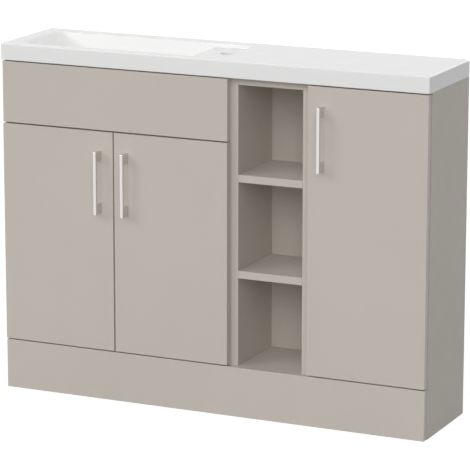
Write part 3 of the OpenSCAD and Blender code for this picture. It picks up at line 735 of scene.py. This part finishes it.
def ledge_shell(shell, foot, edge):
    """The level border of the tap ledge, from the foot of its walls to the soft bowl edge."""
    loop = foot + edge[::-1]
    middle_y = (OPENING["y0"] + OPENING["y1"]) / 2
    rings = [loop]
    for border in LEDGE_BORDERS:
        points = []
        for index, point in enumerate(shell.at_ring(loop)):
            x, y, _ = in_mm(point)
            step_x, step_y = ledge_step(index, len(foot), x)
            inward = border if y < middle_y else -border
            points.append(at(x + step_x * border, y + step_y * inward, LEDGE_Z))
        rings.append(shell.ring(points))
    shell.bands(rings)


def bowl_mouth(shell, walls):
    """The rim and the tap ledge; gives the ring at the ledge's height where the bowl starts."""
    rim = RIM_R * SOFTENING
    above_foot = 6.4            # the last row above the foot of the ledge's walls
    rings = [shell.ring(opening_ring(walls, grow, drop)) for grow, drop in (
        (2 * rim, 0), (rim, 0), (0, 0), (0, rim), (0, above_foot), (0, LEDGE_DROP))]
    shell.bands(rings)
    foot = rings[-1]
    side = len(PARTS_FRONT)
    ledge_start = side - 1
    ledge_end = side + len(LEDGE_XS) + 1 + len(PARTS_END) + 1 + len(LEDGE_XS)
    mouth = bowl_ring(walls, BOWL, SLAB_TOP, Wall.at_drop, LEDGE_DROP, OPENING_R)
    edge = shell.ring(mouth[side:side + len(PARTS_END)])
    ledge_shell(shell, foot[ledge_start:ledge_end + 1], edge)
    return foot[:side] + edge + foot[ledge_end:]


def waste_profile():
    """Radius and height of each ring from the dish through the waste hole to the boss's foot."""
    seat = BOWL_FLOOR - DISH_DEPTH
    under = BOWL_FLOOR - BOWL_WALL
    ease = 4                    # how far the dish and the boss ease into the flats round them
    lip = 1.8                   # the edge of the hole on its seat
    boss_lip = 2                # the edges of the boss and of the hole underneath
    dish = [(DISH_R + ease, BOWL_FLOOR), (DISH_R, BOWL_FLOOR - 0.15), (DISH_R - ease, seat + 1.4),
            (WASTE_R + 3.4, seat + 0.1)]
    hole = [(WASTE_R + lip, seat), (WASTE_R, seat), (WASTE_R, seat - lip),
            (WASTE_R, BOSS_UNDER + boss_lip), (WASTE_R, BOSS_UNDER),
            (WASTE_R + boss_lip, BOSS_UNDER)]
    boss = [(BOSS_R - boss_lip, BOSS_UNDER), (BOSS_R, BOSS_UNDER), (BOSS_R, BOSS_UNDER + boss_lip),
            (BOSS_R, under - 3), (BOSS_R + 0.6, under), (BOSS_R + ease, under)]
    return dish + hole + boss


def bowl_shell(shell):
    """Rim, tap ledge, bowl, waste dish and boss, and the outside of the bowl."""
    walls = bowl_walls(FLOOR_R, 0, BOWL_DEPTH - FLOOR_R)
    rings = [bowl_mouth(shell, walls)]
    for row in INSIDE_ROWS:
        rings.append(shell.ring(bowl_ring(walls, BOWL, SLAB_TOP, *row)))

    floor_edge = shell.at_ring(rings[-1])
    angles = round_angles(floor_edge, WASTE)
    waste_rings = [level(circle(WASTE, radius, angles), z) for radius, z in waste_profile()]
    for part in FLOOR_PARTS:
        rings.append(shell.ring(between(floor_edge, waste_rings[0], part)))
    rings += [shell.ring(points) for points in waste_rings]

    outer_walls = bowl_walls(FLOOR_R + BOWL_WALL, BOWL_WALL,
                             BOWL_DEPTH - FLOOR_R - OUTER_TOP_DEPTH)
    outer_top = SLAB_TOP - OUTER_TOP_DEPTH
    outside = [bowl_ring(outer_walls, grown(BOWL, BOWL_WALL), outer_top, *row)
               for row in OUTSIDE_ROWS]
    for part in BELOW_PARTS:
        rings.append(shell.ring(between(waste_rings[-1], outside[0], part)))
    outside += [pushed_out(outside[-1], border) for border in UNDER_BORDERS]
    rings += [shell.ring(points) for points in outside]
    shell.bands(rings)


# ---- Cast top: slab, tap hole and hollows ---------------------------------------------

def slab_shell(shell):
    """The rounded outside of the slab, from a level ring on top to one underneath."""
    parts_x = (0, 0.02, 0.2, 0.4, 0.6, 0.8, 0.98, 1)
    parts_y = (0, 0.06, 0.5, 0.94, 1)
    top = SLAB_TOP_R * SOFTENING
    under = SLAB_UNDER_R * SOFTENING
    border = 8
    rings = []
    for inset, z in ((2 * top, SLAB_TOP), (top, SLAB_TOP), (0, SLAB_TOP), (0, SLAB_TOP - top),
                     (0, SLAB_UNDER + 2 * under), (0, SLAB_UNDER + under), (0, SLAB_UNDER),
                     (under, SLAB_UNDER), (border, SLAB_UNDER)):
        ring = soft_rectangle(**grown(SLAB, -inset), r=SLAB_CORNER_R, parts_x=parts_x,
                              parts_y=parts_y)
        rings.append(shell.ring(level(ring, z)))
    shell.bands(rings)


def tap_hole_shell(shell):
    """The tap hole, from a level ring on the ledge to one on the underside."""
    sides = 24
    angles = [i * FULL_TURN / sides for i in range(sides)]
    border = 10
    border_under = 5
    lip_under = 1.2
    rings = [shell.ring(level(circle(TAP, TAP_R + out, angles), z)) for out, z in (
        (border, LEDGE_Z), (TAP_LIP, LEDGE_Z), (0, LEDGE_Z), (0, LEDGE_Z - TAP_LIP),
        (0, SLAB_UNDER + lip_under), (0, SLAB_UNDER), (lip_under, SLAB_UNDER),
        (border_under, SLAB_UNDER))]
    shell.bands(rings)


def pocket_plan(unit):
    """The plan of a hollow between the side panels of a unit, its front rail and its back."""
    rail_back = box_in_mm("store_top_rail")[1][1]
    return dict(x0=box_in_mm(unit + "_side_left")[1][0] + POCKET_LAND,
                x1=box_in_mm(unit + "_side_right")[0][0] - POCKET_LAND,
                y0=rail_back + POCKET_LAND, y1=box_in_mm(unit + "_back")[1][1])


def pocket_shell(shell, plan):
    """A hollow in the underside of the slab."""
    parts = (0, 0.5, 1)
    roof = SLAB_UNDER + POCKET_DEPTH
    border = 7
    lip = 1.8
    roof_r = 4
    roof_border = 9
    rings = []
    for out, z in ((border, SLAB_UNDER), (lip, SLAB_UNDER), (0, SLAB_UNDER), (0, SLAB_UNDER + lip),
                   (0, roof - roof_r), (0, roof), (-roof_r, roof), (-roof_border, roof)):
        ring = soft_rectangle(**grown(plan, out), r=POCKET_R, parts_x=parts, parts_y=parts)
        rings.append(shell.ring(level(ring, z)))
    shell.bands(rings)


def fill_levels(mesh):
    """Closes the level openings between the smoothed shells with flat faces."""
    bm = bmesh.new()
    bm.from_mesh(mesh)
    rims_by_height = {}
    for edge in bm.edges:
        if len(edge.link_faces) == 1:
            rims_by_height.setdefault(round(edge.verts[0].co.z, 4), []).append(edge)
    for edges in rims_by_height.values():
        bmesh.ops.triangle_fill(bm, use_beauty=True, use_dissolve=False, edges=edges,
                                normal=(0, 0, 1))
    bmesh.ops.recalc_face_normals(bm, faces=bm.faces)
    bm.to_mesh(mesh)
    bm.free()


def cast_top(finish):
    """The whole cast top: its shells, smoothed, and the flats that close the levels."""
    shell = Shell()
    slab_shell(shell)
    bowl_shell(shell)
    tap_hole_shell(shell)
    for unit in ("open", "store"):
        pocket_shell(shell, pocket_plan(unit))
    mesh = bpy.data.meshes.new("cast_top")
    mesh.from_pydata(shell.points, [], shell.faces)
    made = new_object("cast_top", mesh)
    smooth = made.modifiers.new("smooth", "SUBSURF")
    smooth.levels = smooth.render_levels = 2
    plain_mesh(made)
    fill_levels(made.data)
    made.data.shade_smooth()
    made.data.materials.clear()
    made.data.materials.append(finish)
    give(made, "basin_top")


# ---- Boards, handles and fittings with their CAD shape --------------------------------

FRONT_BOARDS = ("fascia", "left_door", "right_door", "store_door", "plinth")
SIDE_PANELS = ("basin_side_left", "basin_side_right", "open_side_left", "open_side_right",
               "store_side_left", "store_side_right")
INNER_BOARDS = ("basin_floor", "basin_front_rail", "basin_wall_rail", "basin_back", "open_floor",
                "open_top", "open_shelf_lower", "open_shelf_upper", "open_back", "store_floor",
                "store_top_rail", "store_wall_rail", "store_back", "store_shelf_lower",
                "store_shelf_upper")
DOORS = ("left", "right", "store")

# How the corners of each kind of piece are softened; an edge below the shortest stays sharp
FRONT_EDGE = dict(radius=0.6 * MM, segments=3, shortest=7 * MM)
PANEL_EDGE = dict(radius=1.1 * MM, segments=3, shortest=7 * MM)
INNER_EDGE = dict(radius=0.5 * MM, segments=3, shortest=7 * MM)
BAR_EDGE = dict(radius=1.1 * MM, segments=4, shortest=0.3 * MM)
CUP_EDGE = dict(radius=0.2 * MM, segments=2, shortest=6 * MM)
ARM_EDGE = dict(radius=0.25 * MM, segments=2, shortest=4 * MM)
BRACKET_EDGE = dict(radius=0.3 * MM, segments=2, shortest=4 * MM)

CORE_SHOWS_FROM = 30 * MM   # a board shallower or lower than this has no bare edge there
SQUARE_ON = 0.9             # a face whose normal has this much of a direction faces that way


def soft_piece(node, name, edge, finishes, other=None):
    """A piece with its CAD shape and softened corners; other tests for the second finish."""
    bm = merged_copy(node)
    soften(bm, **edge)
    if other:
        for face in bm.faces:
            face.material_index = 1 if other(face) else 0
    mesh = bpy.data.meshes.new(name)
    bm.to_mesh(mesh)
    bm.free()
    for finish in finishes:
        mesh.materials.append(finish)
    shade(mesh)
    give(weigh_normals(new_object(name, mesh)), node)


def cut_edges(node):
    """A test for the bare edges of a board, those to the wall and to the floor."""
    low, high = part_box(node)
    deep = high.y - low.y > CORE_SHOWS_FROM
    tall = high.z - low.z > CORE_SHOWS_FROM

    def bare(face):
        centre = face.calc_center_median()
        rear = deep and face.normal.y > SQUARE_ON and centre.y > high.y - MERGE
        under = tall and face.normal.z < -SQUARE_ON and centre.z < low.z + MERGE
        return rear or under

    return bare


def front_board(node, finish):
    """A lacquered board of the front."""
    soft_piece(node, node + "_board", FRONT_EDGE, [finish])


def cabinet_board(node, edge, finish, core):
    """A board of the cabinets, with its core bare to the wall and the floor."""
    soft_piece(node, node + "_board", edge, [finish, core], cut_edges(node))


# ---- Geometry node trees for what repeats ---------------------------------------------

class Tree:
    """A geometry node tree with named size inputs, ending in real geometry with its finish."""

    def __init__(self, name, sizes):
        self.tree = bpy.data.node_groups.new(name, "GeometryNodeTree")
        face = self.tree.interface
        face.new_socket("Geometry", in_out="INPUT", socket_type="NodeSocketGeometry")
        for size, value in sizes.items():
            kind = "NodeSocketInt" if isinstance(value, int) else "NodeSocketFloat"
            face.new_socket(size, in_out="INPUT", socket_type=kind).default_value = value
        face.new_socket("Finish", in_out="INPUT", socket_type="NodeSocketMaterial")
        face.new_socket("Geometry", in_out="OUTPUT", socket_type="NodeSocketGeometry")
        self.inputs = self.node("NodeGroupInput").outputs

    def node(self, kind, **settings):
        """A new node with its settings."""
        made = self.tree.nodes.new(kind)
        for name, value in settings.items():
            setattr(made, name, value)
        return made

    def feed(self, node, socket, value):
        """Sets an input, or links it where the value is another node's output."""
        target = node.inputs[socket]
        if isinstance(value, bpy.types.NodeSocket):
            self.tree.links.new(value, target)
        else:
            target.default_value = value

    def maths(self, operation, a, b=0.0):
        """The result of one operation on one or two values."""
        made = self.node("ShaderNodeMath", operation=operation)
        self.feed(made, 0, a)
        self.feed(made, 1, b)
        return made.outputs[0]

    def times(self, a, b):
        return self.maths("MULTIPLY", a, b)

    def vector(self, x, y, z):
        """A vector made of three values."""
        made = self.node("ShaderNodeCombineXYZ")
        for i, value in enumerate((x, y, z)):
            self.feed(made, i, value)
        return made.outputs[0]

    def raised(self, geometry, z):
        """A geometry moved up along z."""
        made = self.node("GeometryNodeTransform")
        self.feed(made, "Geometry", geometry)
        self.feed(made, "Translation", self.vector(0.0, 0.0, z))
        return made.outputs["Geometry"]

    def rod(self, width, length, sides, z_low=0.0, rows=1):
        """A round bar along z that starts at z_low."""
        made = self.node("GeometryNodeMeshCylinder")
        self.feed(made, "Vertices", sides)
        self.feed(made, "Side Segments", rows)
        self.feed(made, "Radius", self.times(width, 0.5))
        self.feed(made, "Depth", length)
        return self.raised(made.outputs["Mesh"], self.maths("ADD", self.times(length, 0.5), z_low))

    def domed(self, geometry, height, crown):
        """Draws a bar that starts at z = 0 in towards its top, to a crown part of its width."""
        place = self.node("GeometryNodeInputPosition").outputs[0]
        parts = self.node("ShaderNodeSeparateXYZ")
        self.feed(parts, 0, place)
        up = self.maths("DIVIDE", parts.outputs[2], height)
        lost = self.maths("SUBTRACT", 1.0, self.times(crown, crown))
        kept = self.maths("SUBTRACT", 1.0, self.times(self.times(up, up), lost))
        factor = self.maths("SQRT", kept)
        made = self.node("GeometryNodeSetPosition")
        self.feed(made, "Geometry", geometry)
        self.feed(made, "Position", self.vector(self.times(parts.outputs[0], factor),
                                                self.times(parts.outputs[1], factor),
                                                parts.outputs[2]))
        return made.outputs["Geometry"]

    def joined(self, *geometries):
        """Several geometries as one."""
        made = self.node("GeometryNodeJoinGeometry")
        for geometry in geometries:
            self.tree.links.new(geometry, made.inputs[0])
        return made.outputs[0]

    def end(self, shape):
        """Sets the shape on every point, turned to the point's aim, and gives it its finish."""
        aim = self.node("GeometryNodeInputNamedAttribute", data_type="FLOAT_VECTOR")
        self.feed(aim, "Name", "aim")
        turn = self.node("FunctionNodeAlignRotationToVector", axis="Z")
        self.feed(turn, "Vector", aim.outputs["Attribute"])
        chance = self.node("FunctionNodeRandomValue", data_type="FLOAT")
        self.feed(chance, 3, FULL_TURN)
        self.feed(chance, "Seed", self.inputs["Seed"])
        spin = self.node("FunctionNodeEulerToRotation")
        self.feed(spin, 0, self.vector(0.0, 0.0, chance.outputs[1]))
        both = self.node("FunctionNodeRotateRotation", rotation_space="LOCAL")
        self.feed(both, 0, turn.outputs[0])
        self.feed(both, 1, spin.outputs[0])
        spots = self.node("GeometryNodeInstanceOnPoints")
        self.feed(spots, "Points", self.inputs["Geometry"])
        self.feed(spots, "Instance", shape)
        self.feed(spots, "Rotation", both.outputs[0])
        real = self.node("GeometryNodeRealizeInstances")
        self.feed(real, "Geometry", spots.outputs[0])
        finish = self.node("GeometryNodeSetMaterial")
        self.feed(finish, "Geometry", real.outputs[0])
        self.feed(finish, "Material", self.inputs["Finish"])
        out = self.node("NodeGroupOutput")
        self.tree.links.new(finish.outputs[0], out.inputs[0])
        return self.tree


def screw_tree():
    """A pan head screw with a cross recess; the top of its head is at z = 0."""
    made = Tree("screw", {"Length": 12 * MM, "Shank Width": 3.5 * MM, "Head Width": 7 * MM,
                          "Head Height": 1.5 * MM, "Crown": 0.62, "Recess Width": 3.4 * MM,
                          "Recess Slot": 0.8 * MM, "Recess Depth": 0.9 * MM, "Seed": 1})
    size = made.inputs
    head = made.rod(size["Head Width"], size["Head Height"], sides=28, rows=5)
    head = made.domed(head, size["Head Height"], size["Crown"])
    head = made.raised(head, made.times(size["Head Height"], -1.0))
    recessed = made.node("GeometryNodeMeshBoolean", operation="DIFFERENCE", solver="EXACT")
    made.feed(recessed, "Mesh 1", head)
    cutter_height = made.times(size["Recess Depth"], 2.0)
    for across in ((size["Recess Width"], size["Recess Slot"]),
                   (size["Recess Slot"], size["Recess Width"])):
        cutter = made.node("GeometryNodeMeshCube")
        made.feed(cutter, "Size", made.vector(*across, cutter_height))
        made.tree.links.new(cutter.outputs["Mesh"], recessed.inputs["Mesh 2"])
    inside_head = made.times(size["Head Height"], 0.7)
    shank = made.rod(size["Shank Width"], made.maths("SUBTRACT", size["Length"], inside_head),
                     sides=16, z_low=made.times(size["Length"], -1.0))
    return made.end(made.joined(recessed.outputs["Mesh"], shank))


def peg_tree():
    """A shelf peg: shank in the panel, collar on its face, rounded nose under the shelf."""
    made = Tree("shelf_peg", {"Width": 5 * MM, "Shank": 8 * MM, "Nose": 9 * MM,
                              "Collar Width": 9 * MM, "Collar Height": 1.5 * MM, "Seed": 3})
    size = made.inputs
    inside_collar = made.times(size["Collar Height"], 0.5)
    shank = made.rod(size["Width"], made.maths("ADD", size["Shank"], inside_collar), sides=24,
                     z_low=made.times(size["Shank"], -1.0))
    nose = made.domed(made.rod(size["Width"], size["Nose"], sides=24, rows=10), size["Nose"], 0.88)
    collar = made.rod(size["Collar Width"], size["Collar Height"], sides=32, rows=3)
    collar = made.domed(collar, size["Collar Height"], 0.9)
    return made.end(made.joined(shank, nose, collar))


def buffer_tree():
    """A soft clear disc with a domed face."""
    made = Tree("door_buffer", {"Width": 8 * MM, "Height": 1.2 * MM, "Crown": 0.6, "Seed": 5})
    size = made.inputs
    disc = made.rod(size["Width"], size["Height"], sides=32, rows=6)
    return made.end(made.domed(disc, size["Height"], size["Crown"]))


def set_out(node, tree, sizes, finish, spots):
    """Runs a tree on the places of a CAD node's solids and puts the result in their stead."""
    name = node + "_set"
    mesh = bpy.data.meshes.new(name)
    mesh.from_pydata([spot for spot, _ in spots], [], [])
    aims = mesh.attributes.new("aim", "FLOAT_VECTOR", "POINT")
    for i, (_, aim) in enumerate(spots):
        aims.data[i].vector = aim
    made = new_object(name, mesh)
    repeat = made.modifiers.new("repeat", "NODES")
    repeat.node_group = tree
    values = dict(sizes, Finish=finish)
    for item in tree.interface.items_tree:
        if item.in_out == "INPUT" and item.name in values:
            repeat[item.identifier] = values[item.name]
    plain_mesh(made)
    bm = merged(made.data)
    bm.to_mesh(made.data)
    bm.free()
    shade(made.data)
    give(made, node)


def head_of(points):
    """The wider end of a turned solid, the direction that it faces, and the solid's length."""
    low, high = points_box(points)
    size = high - low
    axis = max(range(3), key=lambda i: size[i])
    middle = (low + high) / 2
    near = size[axis] * 0.02        # points this close to an end belong to it

    def width(end):
        return max((p - middle).length for p in points if abs(p[axis] - end) < near)

    aim = Vector((0, 0, 0))
    aim[axis] = 1 if width(high[axis]) > width(low[axis]) else -1
    head = middle.copy()
    head[axis] = high[axis] if aim[axis] > 0 else low[axis]
    return head, aim, size[axis]


def screws(node, tree, finish, sizes):
    """Screws in the places and of the length of a CAD node's."""
    heads = [head_of(points) for points in solids_of(node)]
    length = max(length for _, _, length in heads)
    set_out(node, tree, dict(sizes, Length=length), finish,
            [(head, aim) for head, aim, _ in heads])


def pegs(tree, finish):
    """The collar of each peg lies on the panel face, with its nose towards the cupboard."""
    node = "shelf_pegs"
    left_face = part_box("store_side_left")[1].x
    right_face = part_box("store_side_right")[0].x
    spots = []
    for points in solids_of(node):
        low, high = points_box(points)
        on_left = low.x < (left_face + right_face) / 2
        radius = (high.y - low.y) / 2
        spots.append((Vector((left_face if on_left else right_face, low.y + radius,
                              low.z + radius)),
                      Vector((1 if on_left else -1, 0, 0))))
    set_out(node, tree, {}, finish, spots)


def buffers(node, tree, finish):
    """Buffers in the places and of the height of a CAD node's, facing the cabinet."""
    boxes = [points_box(points) for points in solids_of(node)]
    height = max(high.y - low.y for low, high in boxes)
    set_out(node, tree, {"Height": height}, finish,
            [(Vector(((low.x + high.x) / 2, low.y, (low.z + high.z) / 2)), Vector((0, 1, 0)))
             for low, high in boxes])


HANDLE_SCREW = {"Shank Width": 4 * MM, "Head Width": 9 * MM, "Head Height": 2.2 * MM,
                "Recess Width": 4.6 * MM, "Recess Depth": 1.3 * MM, "Seed": 11}
CUP_SCREW = {"Shank Width": 3.5 * MM, "Head Width": 7 * MM, "Head Height": 1 * MM,
             "Recess Depth": 0.8 * MM, "Seed": 12}
PLATE_SCREW = {"Shank Width": 5 * MM, "Head Width": 9 * MM, "Head Height": 1.6 * MM,
               "Recess Width": 4.6 * MM, "Recess Depth": 1.1 * MM, "Seed": 13}
JOINING_SCREW = {"Shank Width": 4 * MM, "Head Width": 8 * MM, "Head Height": 1.6 * MM, "Seed": 14}
BRACKET_SCREW = {"Shank Width": 3.5 * MM, "Head Width": 7 * MM, "Head Height": 1.5 * MM,
                 "Seed": 15}


# ---- The run --------------------------------------------------------------------------

make_camera()
make_world()
make_floor()
for lamp in LAMPS:
    make_lamp(*lamp)

LACQUER = satin_lacquer()
MELAMINE = board_face()
CORE = raw_core()
GEL = gel_coat()
CHROME = polished_chrome()
STEEL = plated_steel()
CLEAR = soft_plastic()

cast_top(GEL)
for name in FRONT_BOARDS:
    front_board(name, LACQUER)
for name in SIDE_PANELS:
    cabinet_board(name, PANEL_EDGE, MELAMINE, CORE)
for name in INNER_BOARDS:
    cabinet_board(name, INNER_EDGE, MELAMINE, CORE)
for door in DOORS:
    soft_piece(door + "_handle", door + "_handle_bar", BAR_EDGE, [CHROME])
for door in DOORS:
    soft_piece(door + "_hinge_cups", door + "_cups", CUP_EDGE, [STEEL])
    soft_piece(door + "_hinge_arms", door + "_arms", ARM_EDGE, [STEEL])
for name in ("fascia_brackets", "plinth_brackets"):
    soft_piece(name, name + "_set", BRACKET_EDGE, [STEEL])

SCREW = screw_tree()
PEG = peg_tree()
BUFFER = buffer_tree()
for door in DOORS:
    screws(door + "_handle_screws", SCREW, STEEL, HANDLE_SCREW)
    screws(door + "_cup_screws", SCREW, STEEL, CUP_SCREW)
    buffers(door + "_door_buffers", BUFFER, CLEAR)
screws("hinge_plate_screws", SCREW, STEEL, PLATE_SCREW)
screws("joining_screws", SCREW, STEEL, JOINING_SCREW)
screws("bracket_screws", SCREW, STEEL, BRACKET_SCREW)
pegs(PEG, STEEL)
